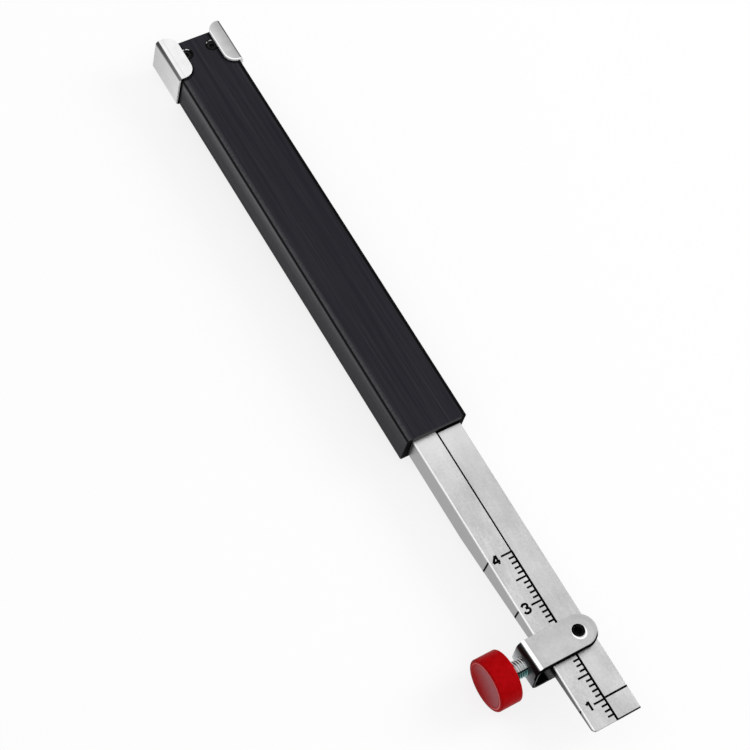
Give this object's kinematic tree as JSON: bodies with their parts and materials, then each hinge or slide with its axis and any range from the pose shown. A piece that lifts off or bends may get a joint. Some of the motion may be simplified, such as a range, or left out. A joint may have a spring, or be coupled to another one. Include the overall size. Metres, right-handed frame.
{
  "type": "weld gauge",
  "caption": "Slim gauge: steel bars slide side by side in a black sleeve, with wedge tips marked in millimetres, a screw clip with a red thumb knob, and folded steel feet.",
  "frame": {"origin": "middle of the outline in X and Y, on the surface that the gauge lies on, on its back", "axes": "+Y along the bars from the wedge tips to the feet, +Z out of the marked front face, +X to the right as the marks are read, away from the knob"},
  "size_m": [0.023, 0.153, 0.0098],
  "materials": {
    "black_anodised": "satin anodised",
    "stainless": "fine brushed",
    "foot_steel": "satin",
    "clip_steel": "satin",
    "black_steel": "black oxide",
    "zinc_steel": "zinc plated",
    "red_plastic": "semi-gloss"
  },
  "bodies": {
    "handle": {"sleeve": "black_anodised", "scale_bar": "stainless", "left_foot": "foot_steel", "left_foot_lug": "foot_steel", "left_set_screw": "black_steel", "right_stop_screw": "black_steel"},
    "slider": {"sliding_bar": "stainless", "right_foot": "foot_steel", "right_foot_lug": "foot_steel", "clamp_clip": "clip_steel", "clip_pin": "black_steel"},
    "screw": {"thumb_screw": "zinc_steel"},
    "knob": {"thumb_knob": "red_plastic"}
  },
  "joints": [
    {"name": "bar_slide", "type": "slide", "parent": "handle", "child": "slider", "axis": [0, 1, 0], "range_m": [0, 0.03]},
    {"name": "screw_travel", "type": "slide", "parent": "slider", "child": "screw", "axis": [-1, 0, 0], "range_m": [0, 0.001]},
    {"name": "knob_turn", "type": "hinge", "parent": "screw", "child": "knob", "pos_m": [-0.0093, -0.06055, 0.0049], "axis": [-1, 0, 0], "range_deg": [0, 720]}
  ],
  "couplings": [
    {"joint": "knob_turn", "follows": "screw_travel", "rad_per_m": 12566}
  ]
}
